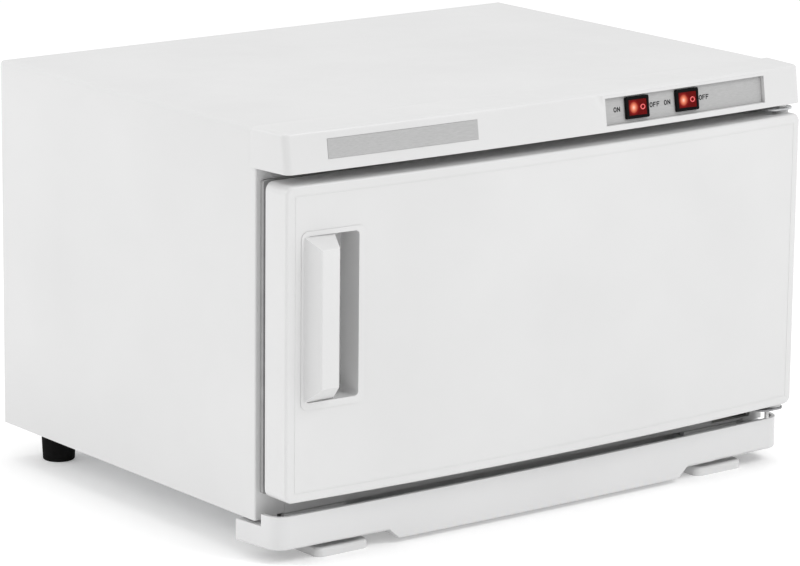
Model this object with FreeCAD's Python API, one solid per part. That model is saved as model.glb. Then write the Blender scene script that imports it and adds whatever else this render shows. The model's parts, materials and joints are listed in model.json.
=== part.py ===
import FreeCAD, Part
import math
import os

# Hot towel cabinet: a heated steel box with a side-hinged door, a lamp and a drip tray.
# Millimetres. +X is the right side seen from the front, +Y the back, +Z up.
# The origin is the centre of the overall box on the floor.

Vector = FreeCAD.Vector
X_AXIS = Vector(1, 0, 0)
Y_AXIS = Vector(0, 1, 0)
Z_AXIS = Vector(0, 0, 1)

# ---- driving dimensions ----
HOUSING_WIDTH = 450.0
HOUSING_DEPTH = 306.0
HOUSING_HEIGHT = 261.5
FOOT_HEIGHT = 27.0
FRONT_REACH = 46.0         # housing front to the face of the handle's hood
GLAND_REACH = 7.0          # housing back to the end of the cord gland
SHEET = 1.0                # steel and aluminium sheet
WALL = 2.5                 # moulded plastic wall
BEND = 3.0                 # outside radius of the two long folds of the top
FLANGE_BEND = 1.3          # outside radius of the folds round the front and the back
FLANGE = 24.0              # returned edge of the sides, front and back
FLOOR_FLANGE = 18.0        # returned edge of the housing, underneath
HEAD_FLANGE = 14.0         # returned edge of the top, front and back
FIT = 0.3                  # gap between neighbouring pieces that don't touch
HOLE_GAP = 0.05            # radial gap round a screw or a hinge pin
TINY = 0.01                # tolerance for picking faces and edges
FAR = 400.0                # longer than anything here, for cutting blocks

CHAMBER_WIDTH = 350.0
CHAMBER_HEIGHT = 187.0
CHAMBER_DEPTH = 245.0
CHAMBER_LIFT = 30.0        # housing bottom to the chamber floor
CHAMBER_CORNER = 3.0
FRAME_THICKNESS = 4.0

DOOR_WIDTH = 446.6
DOOR_HEIGHT = 210.8
DOOR_LIFT = 17.7           # housing bottom to the door bottom
DOOR_GAP = 8.8             # housing front to the back of the door, filled by the gasket
DOOR_THICKNESS = 22.6      # at the two ends, the middle is thicker by the bow
DOOR_BOW = 9.0
DOOR_CORNER = 6.0
DOOR_EDGE = 2.0
PIVOT_X = 215.0
PIVOT_REACH = 20.0         # housing front to the door's hinge axis
PIN_RADIUS = 3.0

FASCIA_WIDTH = 453.0       # at its back, the ends draw in towards the front
FASCIA_TAPER = 3.5
FASCIA_HEIGHT = 26.4
FASCIA_REACH = 32.0        # housing front to the fascia's lower edge at the ends
FASCIA_BOW = 6.3
FASCIA_LEAN = 3.8          # the top edge stands this much further back
FASCIA_LAP = 5.0           # how far it laps over the housing
FASCIA_CORNER = 5.0
FASCIA_EDGE = 2.2          # rounding along its top front edge

TRAY_WIDTH = 455.0         # at its back, the sides draw in towards the front
TRAY_TAPER = 4.8
TRAY_REACH = 26.5          # housing front to the middle of the tray's front
TRAY_BOW = 4.7
TRAY_CORNER = 12.0
TRAY_BACK = 18.0           # how far the tray runs under the housing
TRAY_LIP = 6.0             # lip above the housing bottom
TRAY_LOW = 16.9            # shallow ends below the housing bottom
TRAY_DEEP = 23.0           # deep middle below the housing bottom
TRAY_TRAVEL_FIT = 2.2      # tray top to housing bottom, under the sides

SWITCH_CENTRES = (69.0, 115.0)
SWITCH_HEIGHT = 249.6      # above the housing bottom
BEZEL = (20.6, 15.2, 2.0)
SWITCH_BODY = (18.6, 12.8, 20.0)
ROCKER_RADIUS = 7.8
ROCKER_TALL = 10.6
ROCKER_TILT = 11.0

# ---- levels and planes worked out from them ----
DEPTH = FRONT_REACH + HOUSING_DEPTH + GLAND_REACH
FRONT = FRONT_REACH - DEPTH / 2
BACK = FRONT + HOUSING_DEPTH
SIDE = HOUSING_WIDTH / 2
BOTTOM = FOOT_HEIGHT
TOP = BOTTOM + HOUSING_HEIGHT
CHAMBER_SIDE = CHAMBER_WIDTH / 2
CHAMBER_FLOOR = BOTTOM + CHAMBER_LIFT
CHAMBER_ROOF = CHAMBER_FLOOR + CHAMBER_HEIGHT
LINER_FRONT = FRONT + FRAME_THICKNESS
LINER_BACK = LINER_FRONT + CHAMBER_DEPTH
DOOR_SIDE = DOOR_WIDTH / 2
DOOR_BOTTOM = BOTTOM + DOOR_LIFT
DOOR_TOP = DOOR_BOTTOM + DOOR_HEIGHT
DOOR_BACK = FRONT - DOOR_GAP
DOOR_ENDS = DOOR_BACK - DOOR_THICKNESS
PIVOT_Y = FRONT - PIVOT_REACH
FASCIA_TOP = TOP + SHEET
FASCIA_BOTTOM = FASCIA_TOP - FASCIA_HEIGHT
FASCIA_ENDS = FRONT - FASCIA_REACH
LEAN_ANGLE = math.degrees(math.atan2(FASCIA_LEAN, FASCIA_HEIGHT))
TRAY_ENDS = FRONT - TRAY_REACH + TRAY_BOW


# ---- shape helpers ----
def block(x0, x1, y0, y1, z0, z1):
    """A box between two corners."""
    return Part.makeBox(x1 - x0, y1 - y0, z1 - z0, Vector(x0, y0, z0))


def rod(radius, start, direction, length):
    """A round bar from start along direction."""
    return Part.makeCylinder(radius, length, start, direction)


def straight_edges(shape, axis, test=lambda point: True):
    """The straight edges of shape along axis whose middle passes the test."""
    found = []
    for edge in shape.Edges:
        middle = edge.valueAt((edge.FirstParameter + edge.LastParameter) / 2)
        if not isinstance(edge.Curve, Part.Line):
            continue
        if abs(edge.tangentAt(edge.FirstParameter).dot(axis)) > 0.99 and test(middle):
            found.append(edge)
    return found


def edges_at(shape, test):
    """The edges of shape whose two ends and middle all pass the test."""
    found = []
    for edge in shape.Edges:
        span = edge.LastParameter - edge.FirstParameter
        points = [edge.valueAt(edge.FirstParameter + span * part) for part in (0, 0.5, 1)]
        if all(test(point) for point in points):
            found.append(edge)
    return found


def rounded_block(x0, x1, y0, y1, z0, z1, radius, axis):
    """A box whose four edges along axis are rounded."""
    body = block(x0, x1, y0, y1, z0, z1)
    return body.makeFillet(radius, straight_edges(body, axis))


def bowed_block(side, back, ends, bow, low, high, lean=0.0, taper=0.0):
    """A block with a flat back and a front that bulges by bow.

    Its top stands back by lean, and each side draws in by taper towards the front.
    """
    rear = back + abs(lean)
    left = Vector(taper - side, ends, low)
    right = Vector(side - taper, ends, low)
    crown = Vector(0, ends - bow, low)
    left_rear = Vector(-side, rear, low)
    right_rear = Vector(side, rear, low)
    outline = Part.Wire(
        [
            Part.makeLine(left_rear, left),
            Part.Arc(left, crown, right).toShape(),
            Part.makeLine(right, right_rear),
            Part.makeLine(right_rear, left_rear),
        ]
    )
    body = Part.Face(outline).extrude(Vector(0, lean, high - low))
    if lean == 0.0:
        return body
    behind = block(-2 * side, 2 * side, back, rear + 2 * lean, low - 1, high + 1)
    return body.cut(behind)


def moved(shape, x=0.0, y=0.0, z=0.0):
    """A copy of shape moved by x, y, z."""
    copy = shape.copy()
    copy.translate(Vector(x, y, z))
    return copy


def mirrored(shape):
    """The other hand of a shape, across the middle plane."""
    return shape.mirror(Vector(0, 0, 0), X_AXIS)


def joined(shapes):
    """Several overlapping shapes as one solid."""
    return shapes[0].multiFuse(shapes[1:]).removeSplitter()


def placed(shape, point, angle=0.0, axis=X_AXIS):
    """A copy of shape turned about the origin and then moved to point."""
    copy = shape.copy()
    copy.rotate(Vector(0, 0, 0), axis, angle)
    copy.translate(point)
    return copy


# ---- fasteners ----
def pan_screw(point, direction, head=3.5, shank=1.5, length=6.0):
    """A pan-head screw: its head stands on point, its shank runs against direction."""
    height = head * 0.6
    cap = rod(head, Vector(0, 0, 0), Z_AXIS, height)
    cap = cap.makeFillet(height * 0.6, edges_at(cap, lambda p: p.z > height - 0.01))
    arm = head * 0.62
    thin = head * 0.14
    cross = block(-arm, arm, -thin, thin, height * 0.45, height + 1)
    cross = cross.fuse(block(-thin, thin, -arm, arm, height * 0.45, height + 1))
    stem = rod(shank, Vector(0, 0, -length), Z_AXIS, length + 0.1)
    screw = cap.fuse(stem).cut(cross).removeSplitter()
    screw.Placement = FreeCAD.Placement(point, FreeCAD.Rotation(Z_AXIS, direction))
    return screw


def screw_holes(points, direction, shank=1.5, length=8.0):
    """The clearance bores that a group of screws runs in."""
    bores = []
    for point in points:
        start = point + direction * 0.5
        bores.append(rod(shank + HOLE_GAP, start, direction * -1, length + 0.5))
    return bores


def screw_group(points, direction, **sizes):
    """A screw on every point, as separate solids."""
    return [pan_screw(point, direction, **sizes) for point in points]


def drilled(shape, *groups):
    """Shape with every bore of the groups cut out of it."""
    bores = [bore for group in groups for bore in group]
    return shape.cut(bores)


# ---- screw positions ----
DOWN = Z_AXIS * -1
FORWARD = Y_AXIS * -1
HINGE_LEG = 2.0            # thickness of a hinge bracket's leg
HINGE_PLATE = 1.2          # thickness of the plate that carries the pin
HINGE_LEFT = PIVOT_X - 16.0
HINGE_RIGHT = PIVOT_X + 8.0
HINGE_NARROW = PIVOT_X - 0.8   # left edge of the lower bracket's leg, beside the gasket
BACK_PANEL_Y = BACK - SHEET
BACK_SCREWS = [
    Vector(x, BACK, BOTTOM + rise) for x in (-219.0, 219.0) for rise in (20.0, 130.0, 240.0)
]
BACK_SCREWS += [Vector(x, BACK, TOP - 8) for x in (-120.0, 0.0, 120.0)]
BASE_SCREWS = [Vector(side * 215.0, y, BOTTOM) for side in (-1, 1) for y in (-60.0, 40.0)]
TOP_HINGE_SCREWS = [Vector(x, FRONT - HINGE_LEG, TOP - 8) for x in (206.0, 217.0)]
LOW_HINGE_SCREWS = [
    Vector(PIVOT_X + 3.1, FRONT - HINGE_LEG, BOTTOM + rise) for rise in (20.5, 28.0)
]
DOOR_SCREW_INSET = 18.0
DOOR_SCREWS = [
    Vector(x, DOOR_BACK, z)
    for x in (-150.0, 0.0, 150.0)
    for z in (DOOR_BOTTOM + DOOR_SCREW_INSET, DOOR_TOP - DOOR_SCREW_INSET)
]
CATCH_X = -189.5
CATCH_HEAD = (6.0, 11.0)   # half width and half height of the magnet's face
CATCH_TAIL = (5.0, 9.0)    # the same for its body, let into the frame
CATCH_Z = (DOOR_BOTTOM + DOOR_TOP) / 2
STRIKE_SHEET = 1.5
STRIKE_Y = DOOR_BACK + STRIKE_SHEET
STRIKE_SCREWS = [Vector(CATCH_X, STRIKE_Y, CATCH_Z + rise) for rise in (-17.0, 17.0)]
FRONT_FOOT_X = 167.0
REAR_FOOT_X = 194.0
REAR_FOOT_Y = BACK - 23.0
FRONT_FOOT_POST_Y = FRONT + 32.0
FOOT_SCREW_Z = BOTTOM - 8.0
FOOT_SHANK = 2.0
FRONT_FOOT_SCREWS = [
    Vector(side * FRONT_FOOT_X, FRONT_FOOT_POST_Y, FOOT_SCREW_Z) for side in (-1, 1)
]
REAR_FOOT_SCREWS = [Vector(side * REAR_FOOT_X, REAR_FOOT_Y, FOOT_SCREW_Z) for side in (-1, 1)]


# ---- housing ----
def housing_blank(inset=0.0):
    """The housing's outer block, or the same block inside its sheet."""
    body = block(
        -SIDE + inset, SIDE - inset, FRONT + inset, BACK - inset, BOTTOM + inset, TOP - inset
    )
    folds = straight_edges(body, Y_AXIS, lambda p: p.z > BOTTOM + inset + TINY)
    body = body.makeFillet(BEND - inset, folds)
    rims = []
    for face_y in (FRONT + inset, BACK - inset):
        rims += edges_at(body, lambda p: abs(p.y - face_y) < TINY)
    rims = [edge for edge in rims if edge.CenterOfMass.z > BOTTOM + inset + TINY]
    return body.makeFillet(FLANGE_BEND - inset, rims)


def hinge_slot():
    """The slot in the rail and in the housing's edge beside the lower hinge."""
    return block(176.5, 213.0, FRONT - 1, LINER_FRONT + 1, BOTTOM + 2.9, BOTTOM + 9.0)


def housing_wrap():
    """Top and two sides folded from one sheet, with returned edges all round."""
    shell = housing_blank().cut(housing_blank(SHEET))
    mouth_side = SIDE - FLANGE
    mouth_top = TOP - HEAD_FLANGE
    front_mouth = block(
        -mouth_side, mouth_side, FRONT - 1, FRONT + 2 * SHEET, BOTTOM - 1, mouth_top
    )
    back_mouth = moved(front_mouth, y=HOUSING_DEPTH - SHEET)
    floor_side = SIDE - FLOOR_FLANGE
    floor_mouth = block(-floor_side, floor_side, FRONT - 1, BACK + 1, BOTTOM - 1, BOTTOM + 2)
    shell = shell.cut([front_mouth, back_mouth, floor_mouth, hinge_slot()])
    return drilled(
        shell,
        screw_holes(BACK_SCREWS, Y_AXIS),
        screw_holes(BASE_SCREWS, DOWN),
        screw_holes(TOP_HINGE_SCREWS + LOW_HINGE_SCREWS, FORWARD),
    )


GLAND = Vector(150.0, BACK_PANEL_Y, BOTTOM + 42.0)
GLAND_HOLE = 8.0
PANEL_TOP = TOP - 5.5      # flat pieces behind the returned edges stop short of the folds
VENT = (3.0, 26.0)         # width and height of one vent slot in the back
VENT_PITCH = (9.0, 34.0)


def vent_slots(x0, z0, columns, rows):
    """A field of upright vent slots through the back panel."""
    wide, tall = VENT
    slots = []
    for row in range(rows):
        for column in range(columns):
            x = x0 + column * VENT_PITCH[0]
            z = z0 + row * VENT_PITCH[1]
            slots.append(
                rounded_block(x, x + wide, BACK - 5, BACK + 1, z, z + tall, wide / 2.07, Y_AXIS)
            )
    return slots


def back_panel():
    """Flat sheet behind the housing's rear flange, with vents and the cord hole."""
    panel = block(-220, 220, BACK - 2 * SHEET, BACK_PANEL_Y, BOTTOM + 2.2, PANEL_TOP)
    cuts = vent_slots(-190.0, BOTTOM + 40, 15, 2)
    cuts += vent_slots(-66.0, TOP - 76, 15, 1)
    cuts.append(rod(GLAND_HOLE, GLAND - Y_AXIS * 5, Y_AXIS, 10))
    return drilled(panel.cut(cuts), screw_holes(BACK_SCREWS, Y_AXIS))


BASE_VENT = (16.0, 4.0)    # length and width of one vent slot in the base
FOOT_BORE = 14.0


def base_plate():
    """Flat steel floor of the housing, with rows of vent slots."""
    floor = BOTTOM + SHEET
    plate = block(-222, 222, FRONT + 4.5, BACK - 4.5, floor, floor + SHEET)
    long, wide = BASE_VENT
    slots = []
    for row in range(3):
        for column in range(9):
            x = -112.0 + column * 26.0
            y = -40.0 + row * 60.0
            slots.append(
                rounded_block(x, x + long, y, y + wide, floor - 1, floor + 2, wide / 2.1, Z_AXIS)
            )
    return drilled(
        plate.cut(slots),
        screw_holes(BASE_SCREWS, DOWN),
        screw_holes(FRONT_FOOT_SCREWS + REAR_FOOT_SCREWS, DOWN, FOOT_SHANK, FOOT_BORE),
    )


LOOM_X = 90.0
LOOM_Z = TOP - 19.5
LOOM_RADIUS = 3.0


APRON_SIDE = 150.3


def catch_block(half, grow, y0, y1):
    """A block about the middle of the magnetic catch."""
    side = half[0] + grow
    rise = half[1] + grow
    return block(CATCH_X - side, CATCH_X + side, y0, y1, CATCH_Z - rise, CATCH_Z + rise)


def apron(side):
    """Right-hand strip under the rail, beside the tray's trough, with a shadow groove."""
    strip = block(APRON_SIDE, side, FRONT, LINER_FRONT, BOTTOM - 1.9, BOTTOM + 1.3)
    groove = block(APRON_SIDE - 1, side + 1, FRONT - 1, FRONT + 1.5, BOTTOM + 0.5, BOTTOM + 1.2)
    return strip.cut(groove)


def front_frame():
    """Moulded frame round the chamber's mouth; its lower rail shows under the door."""
    low = BOTTOM + 1.2
    side = SIDE - FLANGE - 0.2
    face = block(-side, side, FRONT, LINER_FRONT, low, TOP - HEAD_FLANGE - 0.2)
    tongue = block(-221, 221, FRONT + SHEET + 0.1, LINER_FRONT, low, PANEL_TOP)
    mouth = rounded_block(
        -CHAMBER_SIDE, CHAMBER_SIDE, FRONT - 1, LINER_FRONT + 1,
        CHAMBER_FLOOR, CHAMBER_ROOF, CHAMBER_CORNER, Y_AXIS,
    )
    catch = catch_block(CATCH_TAIL, 0.1, FRONT - 1, LINER_FRONT + 1)
    loom = rod(LOOM_RADIUS + 0.4, Vector(LOOM_X, FRONT - 1, LOOM_Z), Y_AXIS, 10)
    frame = joined([face, tongue, apron(side), mirrored(apron(side))])
    frame = frame.cut([mouth, hinge_slot(), catch, loom])
    return drilled(frame, screw_holes(TOP_HINGE_SCREWS + LOW_HINGE_SCREWS, FORWARD))


# ---- fascia ----
FASCIA_CHORD = FASCIA_WIDTH / 2 - FASCIA_TAPER


def fascia_blank(inset=0.0, back=FRONT + FASCIA_LAP, back_shift=0.0):
    """The fascia's outer shape, made smaller by inset and moved back by back_shift."""
    body = bowed_block(
        FASCIA_WIDTH / 2 - inset, back, FASCIA_ENDS + inset + back_shift, FASCIA_BOW,
        FASCIA_BOTTOM + inset, FASCIA_TOP - inset, FASCIA_LEAN * (1 - 2 * inset / FASCIA_HEIGHT),
        FASCIA_TAPER,
    )
    upright = edges_at(body, lambda p: p.y < FRONT - 20 and abs(p.x) > FASCIA_CHORD - inset - 1)
    upright = [edge for edge in upright if edge.Length < FASCIA_HEIGHT + 5]
    return body.makeFillet(FASCIA_CORNER - inset, upright)


LABEL_WINDOW = (-191.0, -70.5, BOTTOM + 243.5, BOTTOM + 256.6)
SWITCH_WINDOW = (39.5, 188.0, BOTTOM + 239.9, BOTTOM + 258.6)
SWITCH_RECESS = 3.0
PLATE = 0.8
BEZEL_LIFT = 0.35          # the flat bezel clears the bow of its plate


def window_block(window, grow=0.0):
    """A block through the fascia's front over a window of it."""
    x0, x1, z0, z1 = window
    return block(
        x0 - grow, x1 + grow, FASCIA_ENDS - 20, FRONT - 12, z0 - grow, z1 + grow
    )


def switch_point(x):
    """Where a switch's panel face is centred, on the recessed plate."""
    z = BOTTOM + SWITCH_HEIGHT
    sagitta = FASCIA_BOW * (1 - (x / FASCIA_CHORD) ** 2)
    lean = FASCIA_LEAN * (z - FASCIA_BOTTOM) / FASCIA_HEIGHT
    return Vector(x, FASCIA_ENDS - sagitta + lean + SWITCH_RECESS - BEZEL_LIFT, z)


def switch_placed(shape, x):
    """A switch piece, drawn facing -Y at the origin, set on the leaning plate."""
    return placed(shape, switch_point(x), -LEAN_ANGLE)


def panel_holes():
    """Cut-outs for the two switch bodies."""
    width, height, depth = SWITCH_BODY
    side = width / 2 + 0.1
    rise = height / 2 + 0.1
    hole = block(-side, side, -6, depth, -rise, rise)
    return [switch_placed(hole, x) for x in SWITCH_CENTRES]


def front_fascia():
    """Moulded cover across the top front edge, open at its back."""
    outer = fascia_blank()
    top_edges = edges_at(outer, lambda p: p.z > FASCIA_TOP - TINY)
    top_edges = [edge for edge in top_edges if edge.CenterOfMass.y < FRONT + FASCIA_LAP - 1]
    outer = outer.makeFillet(FASCIA_EDGE, top_edges)
    cavity = fascia_blank(WALL, FRONT + 0.1)
    label_pocket = window_block(LABEL_WINDOW).cut(fascia_blank(back_shift=PLATE - 0.2))
    deep = SWITCH_RECESS + PLATE
    tub = window_block(SWITCH_WINDOW, 2.0).common(fascia_blank(back=FRONT - 20))
    tub = tub.cut(fascia_blank(back=FRONT - 10, back_shift=deep + 2.0))
    pocket = window_block(SWITCH_WINDOW).cut(fascia_blank(back_shift=deep))
    bracket_notch = block(
        HINGE_LEFT - 1, HINGE_RIGHT + 1, FRONT - 4, FRONT + 1, FASCIA_BOTTOM - 1, FASCIA_BOTTOM + 4
    )
    body = outer.cut(cavity).fuse(tub)
    body = body.cut([label_pocket, pocket, bracket_notch, housing_blank()] + panel_holes())
    return body.removeSplitter()


def fascia_plate(window, front_shift):
    """A thin plate let into the fascia, following its bow."""
    plate = window_block(window, -0.15).common(fascia_blank(back_shift=front_shift))
    return plate.cut(fascia_blank(back_shift=front_shift + PLATE - 0.02))


def label_plate():
    """Blank silver plate at the left of the fascia."""
    return fascia_plate(LABEL_WINDOW, -0.2)


def switch_plate():
    """Silver plate at the bottom of the switch recess."""
    return fascia_plate(SWITCH_WINDOW, SWITCH_RECESS).cut(panel_holes())


# ---- switches, drawn facing -Y with their panel face at the origin ----
TRUNNION = 1.0             # radius of the rocker's pivot pins
ROCKER_AXIS_Y = 1.0
ROCKER_VALLEY = -1.5       # where the rocker's two faces meet
WELL_DEPTH = 8.0
NEON_Y = 11.0


def switch_body(x):
    """Black switch housing: bezel, body and two tabs."""
    wide, tall, proud = BEZEL
    width, height, depth = SWITCH_BODY
    bezel = rounded_block(-wide / 2, wide / 2, -proud, 0, -tall / 2, tall / 2, 1.0, Y_AXIS)
    bezel = bezel.makeFillet(0.6, edges_at(bezel, lambda p: p.y < TINY - proud))
    case = block(-width / 2, width / 2, -0.1, depth, -height / 2, height / 2)
    side = ROCKER_RADIUS + FIT
    rise = ROCKER_TALL / 2 + 0.15
    well = block(-side, side, -proud - 1, WELL_DEPTH, -rise, rise)
    axle = rod(TRUNNION + 0.06, Vector(0, ROCKER_AXIS_Y, -7), Z_AXIS, 14)
    tabs = [block(x0, x0 + 4.8, depth - 0.1, depth + 6, -0.4, 0.4) for x0 in (-7.4, 2.6)]
    body = joined([bezel, case] + tabs).cut([well, axle])
    return switch_placed(body, x)


def rocker(x):
    """Red rocker, two facets about a pivot, its left half pressed in."""
    axis_low = Vector(0, ROCKER_AXIS_Y, -ROCKER_TALL / 2)
    drum = rod(ROCKER_RADIUS, axis_low, Z_AXIS, ROCKER_TALL)
    rear = block(-FAR, FAR, 4, FAR, -FAR, FAR)
    reach = 2 * ROCKER_RADIUS
    wing = ROCKER_VALLEY - reach * math.tan(math.radians(ROCKER_TILT))
    low = -ROCKER_TALL
    outline = [
        Vector(0, ROCKER_VALLEY, low),
        Vector(reach, wing, low),
        Vector(reach, -FAR, low),
        Vector(-reach, -FAR, low),
        Vector(-reach, wing, low),
        Vector(0, ROCKER_VALLEY, low),
    ]
    front = Part.Face(Part.makePolygon(outline)).extrude(Z_AXIS * (2 * ROCKER_TALL))
    pin_length = ROCKER_TALL + 1.8
    pins = rod(TRUNNION, Vector(0, ROCKER_AXIS_Y, -pin_length / 2), Z_AXIS, pin_length)
    body = drum.cut([rear, front]).fuse(pins).removeSplitter()
    body.rotate(Vector(0, ROCKER_AXIS_Y, 0), Z_AXIS, -ROCKER_TILT)
    return switch_placed(body, x)


def switch_neons():
    """A small neon lamp under each rocker."""
    lamp = rod(2.0, Vector(-5, NEON_Y, 0), X_AXIS, 10)
    seat = block(-1.5, 1.5, NEON_Y, SWITCH_BODY[2] - 3, -1.5, 1.5)
    return [switch_placed(joined([lamp, seat]), x) for x in SWITCH_CENTRES]


def neon_wells():
    """The room for the neon lamps inside the switch bodies."""
    well = block(-5.4, 5.4, WELL_DEPTH - 0.1, SWITCH_BODY[2] - 3, -2.6, 2.6)
    return {x: switch_placed(well, x) for x in SWITCH_CENTRES}


# ---- chamber ----
def chamber_liner():
    """Aluminium tank, open at the front, with a flange behind the front frame."""
    outer = rounded_block(
        -CHAMBER_SIDE - SHEET, CHAMBER_SIDE + SHEET, LINER_FRONT, LINER_BACK + SHEET,
        CHAMBER_FLOOR - SHEET, CHAMBER_ROOF + SHEET, CHAMBER_CORNER + SHEET, Y_AXIS,
    )
    inner = rounded_block(
        -CHAMBER_SIDE, CHAMBER_SIDE, LINER_FRONT - 1, LINER_BACK,
        CHAMBER_FLOOR, CHAMBER_ROOF, CHAMBER_CORNER, Y_AXIS,
    )
    rim = block(
        -CHAMBER_SIDE - 9, CHAMBER_SIDE + 9, LINER_FRONT, LINER_FRONT + SHEET,
        CHAMBER_FLOOR - 9, CHAMBER_ROOF + 9,
    )
    return joined([outer, rim]).cut(inner)


MAT_THICKNESS = 1.5


def heater_mat():
    """Flat silicone heater under the chamber floor."""
    top = CHAMBER_FLOOR - SHEET
    return rounded_block(
        -150, 150, LINER_FRONT + 24, LINER_BACK - 20, top - MAT_THICKNESS, top, 8.0, Z_AXIS
    )


BOARD_FRONT = LINER_FRONT + 10.0
BOARD_SIDE = CHAMBER_SIDE + SHEET + FIT
BOARD_OUTER = SIDE - 14.0
BOARD_LOW = BOTTOM + 3.0
BOARD_HIGH = TOP - 24.0
BACK_BOARD = (LINER_BACK + SHEET + FIT, LINER_BACK + 24.0)
BOARD_BACK = BACK_BOARD[0] - FIT
MIDDLE_SIDE = BOARD_SIDE - FIT


def insulation_top():
    """Insulating board over the chamber."""
    low = CHAMBER_ROOF + SHEET + FIT
    return block(-MIDDLE_SIDE, MIDDLE_SIDE, BOARD_FRONT, BOARD_BACK, low, BOARD_HIGH)


def insulation_bottom():
    """Insulating board under the heater mat."""
    high = CHAMBER_FLOOR - SHEET - MAT_THICKNESS - FIT
    return block(-MIDDLE_SIDE, MIDDLE_SIDE, BOARD_FRONT, BOARD_BACK, BOARD_LOW, high)


def insulation_right():
    """Insulating board beside the chamber."""
    return block(BOARD_SIDE, BOARD_OUTER, BOARD_FRONT, BOARD_BACK, BOARD_LOW, BOARD_HIGH)


def insulation_back():
    """Insulating board behind the chamber, cut out round the thermostat and the fuse."""
    board = block(-BOARD_OUTER, BOARD_OUTER, *BACK_BOARD, BOARD_LOW, BOARD_HIGH)
    cutouts = [
        block(x - 18, x + 18, BACK_BOARD[0] - 1, BACK_BOARD[1] + 1, z - 14, z + 14)
        for x, z in (THERMOSTAT_AT, FUSE_AT)
    ]
    return board.cut(cutouts)


THERMOSTAT_AT = (70.0, BOTTOM + 70.0)
FUSE_AT = (-30.0, BOTTOM + 70.0)


def thermostat():
    """Bimetal disc thermostat on the chamber's back wall."""
    x, z = THERMOSTAT_AT
    wall = Vector(x, LINER_BACK + SHEET, z)
    flange = block(x - 14, x + 14, wall.y, wall.y + 1, z - 6, z + 6)
    case = rod(8.0, wall, Y_AXIS, 10.0)
    blades = [block(x + s - 3, x + s + 3, wall.y + 9.9, wall.y + 18, z - 0.4, z + 0.4)
              for s in (-4.5, 4.5)]
    return joined([flange, case] + blades)


def thermal_fuse():
    """Ceramic thermal fuse held on the chamber's back wall by a clip."""
    x, z = FUSE_AT
    wall = LINER_BACK + SHEET
    barrel = rod(4.0, Vector(x - 12, wall + 5.5, z), X_AXIS, 24)
    clip = block(x - 4, x + 4, wall, wall + 11, z - 6, z + 6)
    leads = rod(0.8, Vector(x - 16, wall + 5.5, z), X_AXIS, 32)
    return joined([barrel, clip, leads])


# ---- lamp and its gear ----
LAMP_Y = LINER_BACK - 20.0
LAMP_Z = CHAMBER_ROOF - 15.0
LAMP_RADIUS = 7.75
LAMP_LENGTH = 288.0
CAP_LENGTH = 12.0


def uv_lamp_tube():
    """Glass tube of the ultraviolet lamp."""
    start = Vector(-LAMP_LENGTH / 2 + CAP_LENGTH, LAMP_Y, LAMP_Z)
    return rod(LAMP_RADIUS, start, X_AXIS, LAMP_LENGTH - 2 * CAP_LENGTH)


def lamp_cap(side):
    """One aluminium end cap of the lamp with its two contact pins."""
    inner = Vector(side * (LAMP_LENGTH / 2 - CAP_LENGTH), LAMP_Y, LAMP_Z)
    outward = X_AXIS * side
    cap = rod(LAMP_RADIUS, inner, outward, CAP_LENGTH)
    pins = [
        rod(1.0, inner + outward * (CAP_LENGTH - 0.1) + Z_AXIS * rise, outward, 5.0)
        for rise in (-2.5, 2.5)
    ]
    return joined([cap] + pins)


def uv_socket(side):
    """Lamp holder under the chamber roof, slotted for the lamp's pins."""
    face = side * (LAMP_LENGTH / 2 + 0.2)
    x0, x1 = sorted((face, face + side * 10))
    body = rounded_block(x0, x1, LAMP_Y - 9, LAMP_Y + 9, LAMP_Z - 11, CHAMBER_ROOF, 2.0, X_AXIS)
    s0, s1 = sorted((face - side, face + side * 6))
    slot = block(s0, s1, LAMP_Y - 1.3, LAMP_Y + 1.3, LAMP_Z - 4, LAMP_Z + 4)
    return body.cut(slot)


def uv_lamp_guard():
    """Slotted aluminium angle in front of and below the lamp."""
    front = LAMP_Y - 17
    low = LAMP_Z - 16
    half = LAMP_LENGTH / 2 + 16
    apron = block(-half, half, front, front + SHEET, low, CHAMBER_ROOF)
    shelf = block(-half, half, front, LINER_BACK, low, low + SHEET)
    slots = []
    for index in range(18):
        x = -half + 14 + index * 17.2
        slots.append(block(x, x + 10, front - 1, front + 2, low + 6, low + 24))
        slots.append(block(x, x + 10, front + 5, LINER_BACK - 6, low - 1, low + 2))
    return joined([apron, shelf]).cut(slots)


def ballast():
    """Iron-cored ballast on the base plate behind the chamber."""
    floor = BOTTOM + 2 * SHEET
    core = block(-168, -78, BACK - 29, BACK - 5, floor + 2, floor + 34)
    foot = block(-182, -64, BACK - 29, BACK - 5, floor, floor + 2)
    coil = block(-156, -90, BACK - 31, BACK - 3.5, floor + 8, floor + 28)
    return joined([core, foot, coil])


STARTER_AT = Vector(-30.0, BACK - 17.0, BOTTOM + 2.0)


def starter_socket():
    """Small plastic holder for the lamp starter."""
    holder = rod(12.5, STARTER_AT, Z_AXIS, 9.0)
    well = rod(10.8, STARTER_AT + Z_AXIS * 4, Z_AXIS, 9.0)
    return holder.cut(well)


def starter():
    """Lamp starter can."""
    can = rod(10.6, STARTER_AT + Z_AXIS * 4, Z_AXIS, 35.0)
    return can.makeFillet(2.0, edges_at(can, lambda p: p.z > STARTER_AT.z + 38))


TERMINALS = (60.0, 112.0)


def terminal_block():
    """Ceramic terminal block for the mains leads."""
    floor = BOTTOM + 2 * SHEET
    x0, x1 = TERMINALS
    body = block(x0, x1, BACK - 26, BACK - 8, floor, floor + 16)
    wells = []
    for index in range(4):
        x = x0 + 7.5 + index * 12.5
        wells.append(rod(2.4, Vector(x, BACK - 22, floor + 10), Z_AXIS, 8))
        wells.append(rod(2.4, Vector(x, BACK - 12, floor + 10), Z_AXIS, 8))
    return body.cut(wells)


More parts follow.
